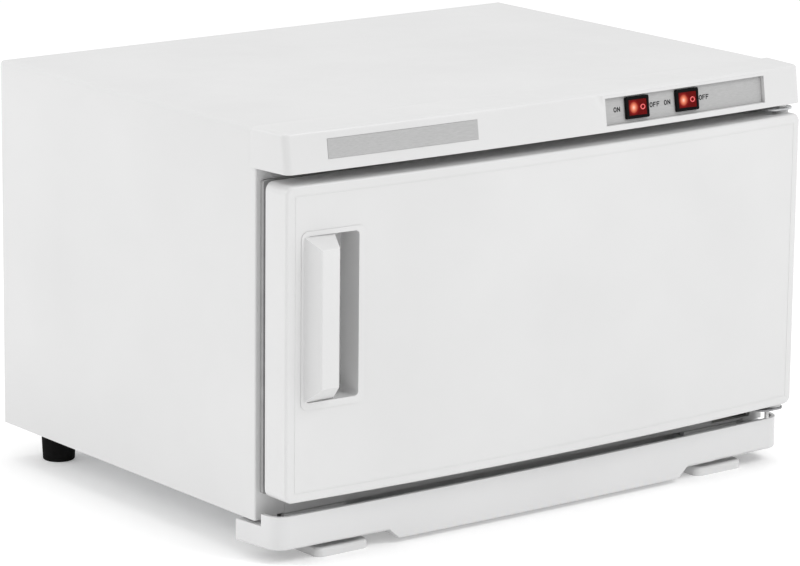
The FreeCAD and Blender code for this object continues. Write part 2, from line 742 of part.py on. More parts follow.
def wiring_loom():
    """Sleeved wires from the switches, over the chamber and down to the terminals."""
    bend = 14.0
    rear = BACK - 17.0
    foot = BOTTOM + 2 * SHEET + 16.3
    start = Vector(LOOM_X, FRONT - 6.5, LOOM_Z)
    turn_in = Vector(LOOM_X, rear - bend, LOOM_Z)
    turn_out = Vector(LOOM_X, rear, LOOM_Z - bend)
    share = bend * math.sqrt(0.5)
    middle = Vector(LOOM_X, rear - bend + share, LOOM_Z - bend + share)
    path = Part.Wire(
        [
            Part.makeLine(start, turn_in),
            Part.Arc(turn_in, middle, turn_out).toShape(),
            Part.makeLine(turn_out, Vector(LOOM_X, rear, foot)),
        ]
    )
    ring = Part.Wire(Part.makeCircle(LOOM_RADIUS, start, Y_AXIS))
    return path.makePipeShell([ring], True, False)


def cord_gland():
    """Strain-relief bush in the back panel, bored for the mains cord."""
    inner = GLAND - Y_AXIS * 14
    barrel = rod(GLAND_HOLE - 0.1, inner, Y_AXIS, 15)
    collar = rod(11.0, GLAND, Y_AXIS, SHEET + 2.0)
    nose = Part.makeCone(8.0, 5.8, SHEET + GLAND_REACH, GLAND, Y_AXIS)
    bore = rod(3.6, inner - Y_AXIS, Y_AXIS, 40)
    return joined([barrel, collar, nose]).cut(bore)


# ---- rack ----
RACK_Z = CHAMBER_FLOOR + 88.0
RACK_SIDE = CHAMBER_SIDE - 7.0
RACK_FRONT = LINER_FRONT + 8.0
RACK_BACK = LAMP_Y - 24.0
RACK_WIRE = 1.5
RAIL_LEDGE = 8.0


def wire_rack():
    """Chromed wire shelf: a thick border with thin rods across it."""
    corners = [
        Vector(-RACK_SIDE, RACK_FRONT, RACK_Z),
        Vector(RACK_SIDE, RACK_FRONT, RACK_Z),
        Vector(RACK_SIDE, RACK_BACK, RACK_Z),
        Vector(-RACK_SIDE, RACK_BACK, RACK_Z),
    ]
    pieces = []
    for index, start in enumerate(corners):
        end = corners[(index + 1) % 4]
        span = end - start
        pieces.append(rod(2.0, start, span, span.Length))
        pieces.append(Part.makeSphere(2.0, start))
    bars = 17
    for index in range(1, bars):
        x = -RACK_SIDE + index * 2 * RACK_SIDE / bars
        start = Vector(x, RACK_FRONT, RACK_Z)
        pieces.append(rod(RACK_WIRE, start, Y_AXIS, RACK_BACK - RACK_FRONT))
    cross_y = (RACK_FRONT + RACK_BACK) / 2
    pieces.append(rod(RACK_WIRE, Vector(-RACK_SIDE, cross_y, RACK_Z), X_AXIS, 2 * RACK_SIDE))
    return joined(pieces)


def rack_rail():
    """Right-hand ledge that the rack rests on."""
    wall = block(CHAMBER_SIDE - 1.2, CHAMBER_SIDE, RACK_FRONT + 6, RACK_BACK, RACK_Z - 16, RACK_Z)
    ledge = block(
        CHAMBER_SIDE - RAIL_LEDGE - 3, CHAMBER_SIDE, RACK_FRONT + 6, RACK_BACK,
        RACK_Z - 3.2, RACK_Z - 2.0,
    )
    return joined([wall, ledge])


# ---- hinge ----
def hinge_bracket(plate_low, leg_left, leg_low, leg_high, screws):
    """Steel angle: a leg on the housing front and a plate that carries the pin."""
    plate_high = plate_low + HINGE_PLATE
    leg = block(leg_left, HINGE_RIGHT, FRONT - HINGE_LEG, FRONT, leg_low, leg_high)
    plate = block(HINGE_LEFT, HINGE_RIGHT, PIVOT_Y, FRONT, plate_low, plate_high)
    nose_radius = HINGE_RIGHT - PIVOT_X
    nose = rod(nose_radius, Vector(PIVOT_X, PIVOT_Y, plate_low), Z_AXIS, HINGE_PLATE)
    front = PIVOT_Y - nose_radius
    fill = block(HINGE_LEFT, PIVOT_X, front, PIVOT_Y + 1, plate_low, plate_high)
    corner = straight_edges(fill, Z_AXIS, lambda p: p.x < HINGE_LEFT + 1 and p.y < front + 1)
    fill = fill.makeFillet(6.0, corner)
    hole = rod(PIN_RADIUS + HOLE_GAP, Vector(PIVOT_X, PIVOT_Y, plate_low - 1), Z_AXIS, 4)
    body = joined([leg, plate, nose, fill]).cut(hole)
    return drilled(body, screw_holes(screws, FORWARD))


TOP_PLATE_LOW = DOOR_TOP + 2.7
TOP_PLATE_HIGH = TOP_PLATE_LOW + HINGE_PLATE
LOW_PLATE_LOW = BOTTOM + 13.3
LOW_PLATE_HIGH = LOW_PLATE_LOW + HINGE_PLATE
PIN_TIP = 7.0              # how far each pin reaches into the door
PIN_HEAD = 4.2
PIN_HEAD_HEIGHT = 1.2
BUSH_GAP = 0.1             # between a bush's flange and its plate


def hinge_bracket_top():
    """Upper hinge bracket, its leg inside the fascia."""
    return hinge_bracket(TOP_PLATE_LOW, HINGE_LEFT, TOP_PLATE_LOW, TOP - 4, TOP_HINGE_SCREWS)


def hinge_bracket_bottom():
    """Lower hinge bracket, its leg behind the door and its plate under it."""
    leg_high = LOW_PLATE_LOW + 19.0
    return hinge_bracket(LOW_PLATE_LOW, HINGE_NARROW, LOW_PLATE_LOW, leg_high, LOW_HINGE_SCREWS)


def hinge_pin(head_from, head_radius, head_height, end):
    """Pin on the hinge axis with a head at one level and its tip at another."""
    up = Z_AXIS if end > head_from else DOWN
    seat = Vector(PIVOT_X, PIVOT_Y, head_from)
    head = rod(head_radius, seat - up * head_height, up, head_height)
    return joined([head, rod(PIN_RADIUS, seat - up * 0.1, up, abs(end - head_from) + 0.1)])


def hinge_pin_top():
    """Upper pin, hanging from its bracket into the door."""
    return hinge_pin(TOP_PLATE_HIGH, PIN_HEAD, PIN_HEAD_HEIGHT, DOOR_TOP - PIN_TIP)


def hinge_pin_bottom():
    """Lower pin, standing in its bracket."""
    return hinge_pin(LOW_PLATE_LOW, PIN_HEAD, PIN_HEAD_HEIGHT, DOOR_BOTTOM + PIN_TIP)


def hinge_stud():
    """White stud hanging under the lower hinge plate."""
    length = LOW_PLATE_LOW - BOTTOM - TRAY_LIP - 0.6
    return rod(1.4, Vector(PIVOT_X - 5.5, PIVOT_Y - 2.0, LOW_PLATE_LOW), DOWN, length)


# ---- feet and tray runners ----
PAD_HEIGHT = 6.5
PAD_WIDTH = 43.0
PAD_FRONT = FRONT - 20.5
PAD_BACK = FRONT + 41.0
POST_DEPTH = 18.0
FOOT_WELL = 4.6            # radius of the well that takes a foot's screw head
FOOT_HIGH = BOTTOM + SHEET


def foot_well(x, y):
    """The well from under a foot up to its screw head."""
    return rod(FOOT_WELL, Vector(x, y, -1), Z_AXIS, FOOT_SCREW_Z + 1)


def front_foot():
    """Right-hand front foot: a flat pad forward under the tray and a post up to the base."""
    x0 = FRONT_FOOT_X - PAD_WIDTH / 2
    x1 = FRONT_FOOT_X + PAD_WIDTH / 2
    pad = rounded_block(x0, x1, PAD_FRONT, PAD_BACK, 0, PAD_HEIGHT, 5.5, Z_AXIS)
    pad = pad.makeFillet(2.5, edges_at(pad, lambda p: p.z > PAD_HEIGHT - TINY))
    post = rounded_block(
        x0 + 5, x1 - 5, PAD_BACK - POST_DEPTH, PAD_BACK, PAD_HEIGHT / 2, FOOT_HIGH, 4.0, Z_AXIS
    )
    foot = joined([pad, post]).cut(foot_well(FRONT_FOOT_X, FRONT_FOOT_POST_Y))
    return drilled(foot, screw_holes(FRONT_FOOT_SCREWS, DOWN, FOOT_SHANK, FOOT_BORE))


def rear_foot():
    """Right-hand rear foot: a tapered rubber bumper."""
    foot = Part.makeCone(11.4, 12.8, FOOT_HIGH, Vector(REAR_FOOT_X, REAR_FOOT_Y, 0))
    foot = foot.makeFillet(1.2, edges_at(foot, lambda p: p.z < TINY))
    foot = foot.cut(foot_well(REAR_FOOT_X, REAR_FOOT_Y))
    return drilled(foot, screw_holes(REAR_FOOT_SCREWS, DOWN, FOOT_SHANK, FOOT_BORE))


CHANNEL = (192.5, 202.5, BOTTOM - 7.5, BOTTOM - 2.0)
RUNNER_WALL = 1.5
RUNNER_FRONT = FRONT + 21.0
RUNNER_BACK = FRONT + 77.0


def tray_runner():
    """Right-hand square channel under the base that holds one tongue of the tray."""
    x0, x1, z0, z1 = CHANNEL
    body = block(
        x0 - RUNNER_WALL, x1 + RUNNER_WALL, RUNNER_FRONT, RUNNER_BACK, z0 - RUNNER_WALL, FOOT_HIGH
    )
    return body.cut(block(x0, x1, RUNNER_FRONT - 1, RUNNER_BACK + 1, z0, z1))


# ---- drip tray ----
TRAY_LOW_Z = BOTTOM - TRAY_LOW
TRAY_DEEP_Z = BOTTOM - TRAY_DEEP
TRAY_STEP = FRONT - 6.3    # the lip ends here, short of the housing
TRAY_REAR = FRONT + TRAY_BACK
TRAY_UNDER_Z = BOTTOM - TRAY_TRAVEL_FIT
TROUGH_SIDE = 150.0
DEEP_SIDE = 124.0
DEEP_SLANT = 1.15          # run over rise of the deep part's ends
TONGUE_GAP = 0.6           # round each tongue in its channel


def tray_plan(low, high, inset=0.0):
    """The tray's outline between two levels, made smaller by inset."""
    body = bowed_block(
        TRAY_WIDTH / 2 - inset, TRAY_REAR - inset, TRAY_ENDS + inset, TRAY_BOW, low, high,
        taper=TRAY_TAPER,
    )
    corners = straight_edges(body, Z_AXIS, lambda p: p.y < FRONT)
    return body.makeFillet(TRAY_CORNER - inset, corners)


def deep_prism(side, low, high, y0, y1):
    """A bar along Y with slanted ends, narrower at its bottom."""
    slope = DEEP_SLANT * (high - low)
    outline = [
        Vector(-side - slope, y0, high),
        Vector(-side, y0, low),
        Vector(side, y0, low),
        Vector(side + slope, y0, high),
        Vector(-side - slope, y0, high),
    ]
    return Part.Face(Part.makePolygon(outline)).extrude(Y_AXIS * (y1 - y0))


def across(low, high, front=-FAR, back=FAR, side=FAR):
    """A block across the whole width, or out to side, between two levels."""
    return block(-side, side, front, back, low, high)


def drip_tray():
    """Pull-out tray: lip round its front, flat ends, deep middle trough, two tongues."""
    lip = BOTTOM + TRAY_LIP
    body = tray_plan(TRAY_LOW_Z, lip)
    bottom_edges = edges_at(body, lambda p: p.z < TRAY_LOW_Z + TINY and p.y < TRAY_REAR - 1)
    body = body.makeFillet(2.0, bottom_edges)
    sump_rear = TRAY_REAR - 3.0
    sump = tray_plan(TRAY_DEEP_Z, TRAY_LOW_Z + 4).common(
        deep_prism(DEEP_SIDE, TRAY_DEEP_Z, TRAY_LOW_Z + 4, -FAR, sump_rear)
    )
    inner = tray_plan(TRAY_DEEP_Z, lip + 1, WALL)
    behind_lip = across(TRAY_UNDER_Z, lip + 1, front=TRAY_STEP)
    above_ends = inner.common(across(TRAY_UNDER_Z, lip + 1))
    trough = inner.common(across(TRAY_LOW_Z + WALL, lip + 1, side=TROUGH_SIDE))
    deep = deep_prism(DEEP_SIDE - WALL, TRAY_DEEP_Z + WALL, lip, -FAR, sump_rear - WALL)
    deep = inner.common(deep).common(across(TRAY_DEEP_Z, lip, side=TROUGH_SIDE))
    end = block(TROUGH_SIDE + WALL, FAR, -FAR, FAR, TRAY_DEEP_Z, TRAY_UNDER_Z - WALL)
    end = inner.common(end)
    body = joined([body, sump])
    body = body.cut([behind_lip, above_ends, trough, deep, end, mirrored(end)])
    x0, x1, z0, z1 = CHANNEL
    tongue = block(
        x0 + TONGUE_GAP, x1 - TONGUE_GAP, TRAY_REAR - 2, RUNNER_BACK - 4,
        z0 + TONGUE_GAP, z1 - TONGUE_GAP,
    )
    return joined([body, tongue, mirrored(tongue)])


# ---- door ----
def door_blank(inset=0.0, back=DOOR_BACK, back_shift=0.0):
    """The door's outer shape, made smaller by inset and moved back by back_shift."""
    body = bowed_block(
        DOOR_SIDE - inset, back, DOOR_ENDS + inset + back_shift, DOOR_BOW,
        DOOR_BOTTOM + inset, DOOR_TOP - inset,
    )
    return body.makeFillet(DOOR_CORNER - inset, straight_edges(body, Y_AXIS))


GROOVE_INSET = 6.2
GROOVE_WIDTH = 0.9
GROOVE_DEPTH = 0.15


def door_window(inset):
    """A block through the door, inset from its four edges."""
    side = DOOR_SIDE - inset
    return block(-side, side, -FAR, DOOR_BACK - 5, DOOR_BOTTOM + inset, DOOR_TOP - inset)


def border_groove():
    """A fine line round the door's face."""
    ring = door_window(GROOVE_INSET).cut(door_window(GROOVE_INSET + GROOVE_WIDTH))
    return ring.cut(door_blank(back_shift=GROOVE_DEPTH))


CUP = (-210.7, -165.9, BOTTOM + 82.2, BOTTOM + 196.8)
CUP_BACK = DOOR_BACK - 5.2
CUP_WALL = 2.0
RIM = (-212.0, -163.3, BOTTOM + 79.5, BOTTOM + 198.0)
RIM_PROUD = 0.6
RIM_SUNK = 1.5
HOOD_FACE = FRONT - FRONT_REACH


def rim_prism(grow=0.0):
    """The rim's rounded outline, running through the door."""
    x0, x1, z0, z1 = RIM
    return rounded_block(
        x0 - grow, x1 + grow, -FAR, DOOR_BACK - 3, z0 - grow, z1 + grow, 5.0, Y_AXIS
    )


BUSH_RADIUS = 4.5


def bush_bores(radius, deep):
    """Cylinders on the hinge axis, reaching deep into the door from above and below."""
    low = Vector(PIVOT_X, PIVOT_Y, DOOR_BOTTOM - 1)
    high = Vector(PIVOT_X, PIVOT_Y, DOOR_TOP - deep)
    return [rod(radius, low, Z_AXIS, deep + 1), rod(radius, high, Z_AXIS, deep + 1)]


def door_shell():
    """White bowed door moulding with a fine border line, hollow behind."""
    outer = door_blank()
    front_edges = edges_at(outer, lambda p: p.y < DOOR_ENDS + TINY)
    outer = outer.makeFillet(DOOR_EDGE, front_edges)
    outer = outer.cut(border_groove())
    hollow = door_blank(WALL, DOOR_BACK + 1)
    x0, x1, z0, z1 = CUP
    window = block(x0 - 0.1, x1 + 0.1, -FAR, DOOR_BACK + 1, z0 - 0.1, z1 + 0.1)
    rim_seat = rim_prism(0.02).cut(door_blank(back_shift=RIM_SUNK))
    seat = FORWARD * (SHEET + 0.05)
    bosses = [rod(4.5, point + seat, FORWARD, 2 * DOOR_THICKNESS) for point in DOOR_SCREWS]
    body = outer.cut(hollow).cut([window, rim_seat])
    body = body.multiFuse([boss.common(door_blank(1.0)) for boss in bosses])
    body = body.cut(bush_bores(BUSH_RADIUS + 0.1, 10))
    return drilled(body.removeSplitter(), screw_holes(DOOR_SCREWS, Y_AXIS, length=9.0))


def door_inner_panel():
    """Sheet closing the back of the door."""
    inset = WALL + FIT
    panel = rounded_block(
        -DOOR_SIDE + inset, DOOR_SIDE - inset, DOOR_BACK - SHEET, DOOR_BACK,
        DOOR_BOTTOM + inset, DOOR_TOP - inset, DOOR_CORNER - inset, Y_AXIS,
    )
    return drilled(
        panel, screw_holes(DOOR_SCREWS, Y_AXIS), screw_holes(STRIKE_SCREWS, Y_AXIS)
    )


def door_insulation():
    """Foam slab inside the door, cut out round the handle cup, the bushes and the bosses."""
    slab = door_blank(WALL + 0.4, DOOR_BACK - SHEET - FIT)
    x0, x1, z0, z1 = RIM
    cup = block(x0 - 2, x1 + 2, -FAR, DOOR_BACK, z0 - 2, z1 + 2)
    bosses = [rod(5.0, point, FORWARD, 2 * DOOR_THICKNESS) for point in DOOR_SCREWS]
    strike = [rod(3.0, point, FORWARD, 12) for point in STRIKE_SCREWS]
    return slab.cut([cup] + bush_bores(6.5, 12) + bosses + strike)


GASKET_WIDTH = 7.0
GASKET_NECK = 5.4          # depth of the narrower part next to the door
GASKET_STEP = 4.5          # the neck stands back this much from the lip
GASKET = (-DOOR_SIDE + 2.3, PIVOT_X - 2.0, DOOR_BOTTOM + 0.4, DOOR_TOP - 0.4)
GASKET_CORNER = 2.0
LIP_GROOVE = (2.6, 4.4)    # outer and inner edge of the groove in the lip


def gasket_block(inset, y0, y1):
    """A rounded block inset from the gasket's outline."""
    x0, x1, z0, z1 = GASKET
    return rounded_block(
        x0 + inset, x1 - inset, y0, y1, z0 + inset, z1 - inset,
        max(GASKET_CORNER - inset, 1.0), Y_AXIS,
    )


def door_gasket():
    """Silicone seal round the back of the door, clear of the hinge axis."""
    neck = gasket_block(GASKET_STEP, DOOR_BACK, DOOR_BACK + GASKET_NECK + 0.1)
    lip = gasket_block(0.0, DOOR_BACK + GASKET_NECK, FRONT - 0.2)
    hole = gasket_block(GASKET_WIDTH, DOOR_BACK - 1, FRONT + 1)
    outer_edge, inner_edge = LIP_GROOVE
    groove = gasket_block(outer_edge, FRONT - 1.6, FRONT)
    groove = groove.cut(gasket_block(inner_edge, FRONT - 3, FRONT + 1))
    return joined([neck, lip]).cut([hole, groove])


HOOD_BASE = (CUP[0], -185.2, CUP[2] + 1.2, CUP[3] - 1.2)
HOOD_PEAK = (-205.2, -191.0, BOTTOM + 95.4, BOTTOM + 187.3)
HOOD_WALL = 2.2


def hood_outline(edges, y, inset):
    """A closed rectangle at one depth; its right edge is the slanted open side."""
    left, right, low, high = edges
    corners = [
        Vector(left + inset, y, low + inset),
        Vector(right + 2 * inset, y, low + inset),
        Vector(right + 2 * inset, y, high - inset),
        Vector(left + inset, y, high - inset),
    ]
    return Part.makePolygon(corners + corners[:1])


def hood_block(inset):
    """A solid grip hood: wide at the door face, narrower where the fingers pull."""
    base = hood_outline(HOOD_BASE, DOOR_ENDS + 0.4, inset)
    peak = hood_outline(HOOD_PEAK, HOOD_FACE + inset, inset)
    return Part.makeLoft([base, peak], True, True)


def handle_cup():
    """Handle insert: sunk cup, rim on the door face and a hollow hood open to the right."""
    x0, x1, z0, z1 = CUP
    face = door_blank(back_shift=-RIM_PROUD)
    rim = rim_prism().common(face).cut(door_blank(back_shift=RIM_SUNK - 0.05))
    cup = block(x0, x1, -FAR, CUP_BACK, z0, z1).common(face)
    well = rounded_block(
        x0 + CUP_WALL, x1 - CUP_WALL, -FAR, CUP_BACK - CUP_WALL,
        z0 + CUP_WALL, z1 - CUP_WALL, 3.0, Y_AXIS,
    )
    hood = hood_block(0.0)
    hood = hood.makeFillet(1.2, edges_at(hood, lambda p: p.y < HOOD_FACE + TINY))
    hood = hood.cut(hood_block(HOOD_WALL))
    return joined([joined([rim, cup]).cut(well), hood])


def strike_plate():
    """Steel plate on the door that the magnet holds."""
    plate = rounded_block(
        CATCH_X - 8, CATCH_X + 8, DOOR_BACK, STRIKE_Y, CATCH_Z - 22, CATCH_Z + 22, 3.0, Y_AXIS
    )
    return drilled(plate, screw_holes(STRIKE_SCREWS, Y_AXIS))


def latch_magnet():
    """Magnetic catch let into the front frame."""
    head = catch_block(CATCH_HEAD, 0.0, STRIKE_Y + 0.2, FRONT)
    head = head.makeFillet(1.5, straight_edges(head, Y_AXIS))
    tail = catch_block(CATCH_TAIL, 0.0, FRONT - 0.1, LINER_FRONT + 2)
    return joined([head, tail])


def door_bush(face, up, flange_radius, flange):
    """Nylon bush: a flange outside the door and a barrel inside it."""
    seat = Vector(PIVOT_X, PIVOT_Y, face)
    collar = rod(flange_radius, seat, up, flange)
    barrel = rod(BUSH_RADIUS, seat + up * 0.1, up * -1, 9.1)
    bore = rod(PIN_RADIUS + HOLE_GAP, seat - up * 20, up, 40)
    return joined([collar, barrel]).cut(bore)


# ---- the whole list of pieces ----
def build_pieces():
    """Every piece by name; a list stands for a group of identical solids."""
    left, right = SWITCH_CENTRES
    wells = neon_wells()
    pieces = {
        "housing_wrap": housing_wrap(),
        "back_panel": back_panel(),
        "base_plate": base_plate(),
        "front_frame": front_frame(),
        "front_fascia": front_fascia(),
        "label_plate": label_plate(),
        "switch_plate": switch_plate(),
        "heat_switch_body": switch_body(left).cut(wells[left]),
        "uv_switch_body": switch_body(right).cut(wells[right]),
        "heat_rocker": rocker(left),
        "uv_rocker": rocker(right),
        "switch_neons": switch_neons(),
        "chamber_liner": chamber_liner(),
        "heater_mat": heater_mat(),
        "insulation_top": insulation_top(),
        "insulation_bottom": insulation_bottom(),
        "insulation_right": insulation_right(),
        "insulation_left": mirrored(insulation_right()),
        "insulation_back": insulation_back(),
        "thermostat": thermostat(),
        "thermal_fuse": thermal_fuse(),
        "uv_lamp_tube": uv_lamp_tube(),
        "uv_lamp_caps": [lamp_cap(-1), lamp_cap(1)],
        "uv_socket_left": uv_socket(-1),
        "uv_socket_right": uv_socket(1),
        "uv_lamp_guard": uv_lamp_guard(),
        "ballast": ballast(),
        "starter_socket": starter_socket(),
        "starter": starter(),
        "terminal_block": terminal_block(),
        "wiring_loom": wiring_loom(),
        "cord_gland": cord_gland(),
        "wire_rack": wire_rack(),
        "rack_rail_right": rack_rail(),
        "rack_rail_left": mirrored(rack_rail()),
        "hinge_bracket_top": hinge_bracket_top(),
        "hinge_bracket_bottom": hinge_bracket_bottom(),
        "hinge_pin_top": hinge_pin_top(),
        "hinge_pin_bottom": hinge_pin_bottom(),
        "hinge_stud": hinge_stud(),
        "latch_magnet": latch_magnet(),
        "front_foot_right": front_foot(),
        "front_foot_left": mirrored(front_foot()),
        "rear_foot_right": rear_foot(),
        "rear_foot_left": mirrored(rear_foot()),
        "tray_runner_right": tray_runner(),
        "tray_runner_left": mirrored(tray_runner()),
        "drip_tray": drip_tray(),
        "door_shell": door_shell(),
        "door_inner_panel": door_inner_panel(),
        "door_insulation": door_insulation(),
        "door_gasket": door_gasket(),
        "handle_cup": handle_cup(),
        "strike_plate": strike_plate(),
        "door_bush_top": door_bush(DOOR_TOP, Z_AXIS, 5.5, TOP_PLATE_LOW - DOOR_TOP - BUSH_GAP),
        "door_bush_bottom": door_bush(
            DOOR_BOTTOM, DOWN, 7.0, DOOR_BOTTOM - LOW_PLATE_HIGH - BUSH_GAP
        ),
        "housing_screws": screw_group(BACK_SCREWS, Y_AXIS, length=5.0)
        + screw_group(BASE_SCREWS, DOWN, head=3.0, length=5.0),
        "hinge_screws": screw_group(TOP_HINGE_SCREWS + LOW_HINGE_SCREWS, FORWARD, head=2.9),
        "foot_screws": screw_group(
            FRONT_FOOT_SCREWS + REAR_FOOT_SCREWS, DOWN, head=4.0, shank=2.0, length=10.5
        ),
        "door_screws": screw_group(DOOR_SCREWS, Y_AXIS, head=3.0, length=7.0)
        + screw_group(STRIKE_SCREWS, Y_AXIS, head=3.0, length=5.0),
    }
    return pieces


os.makedirs("parts", exist_ok=True)
for name, piece in build_pieces().items():
    solids = piece if isinstance(piece, list) else piece.Solids
    shape = Part.makeCompound(solids) if len(solids) > 1 else solids[0]
    print(f"{name:22s} solids {len(solids):2d} volume {shape.Volume:10.0f} valid {shape.isValid()}")
    shape.exportStep(f"parts/{name}.step")
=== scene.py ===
import json
import math

import bpy
from mathutils import Matrix, Vector


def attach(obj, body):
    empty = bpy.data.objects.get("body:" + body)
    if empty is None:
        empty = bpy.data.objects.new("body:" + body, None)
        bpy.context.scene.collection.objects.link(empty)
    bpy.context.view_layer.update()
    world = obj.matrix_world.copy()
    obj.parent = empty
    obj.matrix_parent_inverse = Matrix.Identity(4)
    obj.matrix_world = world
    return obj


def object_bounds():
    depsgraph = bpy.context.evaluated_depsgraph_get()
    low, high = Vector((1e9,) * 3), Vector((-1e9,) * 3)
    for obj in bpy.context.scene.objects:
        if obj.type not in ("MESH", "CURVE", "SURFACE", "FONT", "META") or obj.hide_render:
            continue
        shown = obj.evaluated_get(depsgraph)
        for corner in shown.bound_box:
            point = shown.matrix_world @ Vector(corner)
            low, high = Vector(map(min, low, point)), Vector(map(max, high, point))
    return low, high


# A white hot towel cabinet on a pale floor. Metres; +X right, +Y back, +Z up.
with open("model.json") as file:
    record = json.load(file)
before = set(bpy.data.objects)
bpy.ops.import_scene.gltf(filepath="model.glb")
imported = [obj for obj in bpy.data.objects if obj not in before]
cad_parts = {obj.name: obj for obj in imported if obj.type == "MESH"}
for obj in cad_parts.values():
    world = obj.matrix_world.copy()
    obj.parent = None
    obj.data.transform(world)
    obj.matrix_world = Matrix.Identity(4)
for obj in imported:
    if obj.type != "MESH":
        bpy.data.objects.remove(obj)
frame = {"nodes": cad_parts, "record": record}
nodes = frame["nodes"]
cad_low, cad_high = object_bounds()

MM = 0.001

# The photograph's viewpoint: where the camera stands, where it looks, and how narrow its view is.
CAMERA_AT = Vector((-1.7218, -2.2144, 0.7901))
CAMERA_YAW = math.radians(37.82)
CAMERA_PITCH = math.radians(13.22)
CAMERA_ROLL = math.radians(-0.605)
CAMERA_LENS = 183.1
CAMERA_SENSOR = 36.0
CAMERA_FAR = 50.0

# The room: its brightness, and each soft box's name, place, side in metres and watts.
ROOM_STRENGTH = 0.77
SOFT_BOXES = (
    ("top_box", (-0.2, 0.3, 2.4), 1.2, 8.5),
    ("left_box", (-2.2, 1.2, 1.4), 1.4, 19.0),
    ("front_box", (0.9, -2.0, 2.2), 1.2, 29.0),
)
FLOOR_SIDE = 24.0
FLOOR_GLOW = 0.18

# The lamp's spot on a rocker: where it is from the pivot across and up, and how far it reaches.
SPOT_ACROSS = -3.3 * MM
SPOT_UP = 0.3 * MM
SPOT_HALF_WIDE = 5.0 * MM
SPOT_HALF_TALL = 5.4 * MM
# Its light, from the spot's middle (0) to its rim (1).
GLOW_MIDDLE = (1.0, 0.72, 0.56, 1.0)
GLOW_BETWEEN = ((0.35, (0.82, 0.24, 0.13, 1.0)), (0.75, (0.18, 0.006, 0.005, 1.0)))
GLOW_RIM = (0.05, 0.001, 0.001, 1.0)
GLOW_STRENGTH = 0.95

# Words beside the switches. MARK_CENTRE is how far a word's middle is from its rocker's pivot, and
# PROBE_START how far in front of the pivot the search for the plate's surface begins.
LETTER_TALL = 2.7 * MM
LETTER_WIDE = 2.0 * MM
LETTER_PITCH = 3.2 * MM
LETTER_STROKE = 0.65 * MM
INK_HEIGHT = 0.06 * MM
MARK_CENTRE = 17.2 * MM
PROBE_START = -20 * MM

# Ring on a rocker's raised half, which slants by RAISED_ANGLE; RING_AT is in the switch's own axes.
RING_RADIUS = 1.4 * MM
RING_STRETCH = 1.1
RING_SIDES = 28
RING_STROKE = 0.65 * MM
RING_HEIGHT = 0.08 * MM
RING_AT = (3.45 * MM, -4.04 * MM, 0.0)
RAISED_ANGLE = math.radians(22.0)


# ---- node helpers ----
class Surface:
    """A material with one Principled shader, and short ways to lay texture on it."""

    def __init__(self, name, color, roughness, metallic=0.0):
        self.material = bpy.data.materials.new(name)
        self.material.use_nodes = True
        self.tree = self.material.node_tree
        self.shader = self.tree.nodes["Principled BSDF"]
        self.color = color
        self.shader.inputs["Base Color"].default_value = (*color, 1.0)
        self.shader.inputs["Roughness"].default_value = roughness
        self.shader.inputs["Metallic"].default_value = metallic
        self.place = self.node("ShaderNodeTexCoord").outputs["Object"]
        self.height = None

    def node(self, kind, **settings):
        made = self.tree.nodes.new(kind)
        for key, value in settings.items():
            setattr(made, key, value)
        return made

    def link(self, source, target):
        self.tree.links.new(source, target)

    def set(self, **values):
        """Plain values on the shader's own sockets."""
        for key, value in values.items():
            self.shader.inputs[key.replace("_", " ")].default_value = value
        return self

    def stretched(self, stretch):
        """Object coordinates scaled by stretch along each axis."""
        mapping = self.node("ShaderNodeMapping")
        mapping.inputs["Scale"].default_value = stretch
        self.link(self.place, mapping.inputs["Vector"])
        return mapping.outputs["Vector"]

    def noise(self, size, detail=2.0, stretch=(1.0, 1.0, 1.0)):
        """Noise whose features are about size metres across."""
        made = self.node("ShaderNodeTexNoise")
        made.inputs["Scale"].default_value = 1.0 / size
        made.inputs["Detail"].default_value = detail
        self.link(self.stretched(stretch), made.inputs["Vector"])
        return made.outputs["Fac"]

    def cells(self, size):
        """Voronoi cells about size metres across, as a random value for each."""
        made = self.node("ShaderNodeTexVoronoi")
        made.inputs["Scale"].default_value = 1.0 / size
        self.link(self.place, made.inputs["Vector"])
        return made.outputs["Color"]

    def mapped(self, source, low, high, start=0.3, end=0.7):
        """source spread from start-end to low-high."""
        made = self.node("ShaderNodeMapRange")
        values = {"From Min": start, "From Max": end, "To Min": low, "To Max": high}
        for key, value in values.items():
            made.inputs[key].default_value = value
        self.link(source, made.inputs["Value"])
        return made.outputs["Result"]

    def rough(self, source, low, high):
        """Roughness that follows source between low and high."""
        self.link(self.mapped(source, low, high), self.shader.inputs["Roughness"])
        return self

    def tint(self, source, other, share, start=0.3, end=0.7):
        """Base colour that drifts towards other by up to share where source is high."""
        mix = self.node("ShaderNodeMix", data_type="RGBA")
        current = self.shader.inputs["Base Color"]
        if current.is_linked:
            self.link(current.links[0].from_socket, mix.inputs["A"])
        else:
            mix.inputs["A"].default_value = (*self.color, 1.0)
        mix.inputs["B"].default_value = (*other, 1.0)
        self.link(self.mapped(source, 0.0, share, start, end), mix.inputs["Factor"])
        self.link(mix.outputs["Result"], current)
        return self

    def bump(self, source, depth, strength=1.0):
        """Relief of about depth metres on top of what is there."""
        made = self.node("ShaderNodeBump")
        made.inputs["Distance"].default_value = depth
        made.inputs["Strength"].default_value = strength
        self.link(source, made.inputs["Height"])
        if self.height:
            self.link(self.height, made.inputs["Normal"])
        self.height = made.outputs["Normal"]
        self.link(self.height, self.shader.inputs["Normal"])
        return self


def powder_coat(name, color):
    """Baked powder paint on sheet steel: a fine orange peel and a soft gloss."""
    made = Surface(name, color, 0.42)
    peel = made.noise(2.2 * MM, 3.0)
    made.bump(peel, 0.02 * MM, 0.5)
    made.rough(made.noise(40 * MM, 4.0), 0.36, 0.5)
    made.tint(made.noise(120 * MM, 3.0), tuple(c * 0.96 for c in color), 1.0)
    return made.set(Specular_IOR_Level=0.45).material


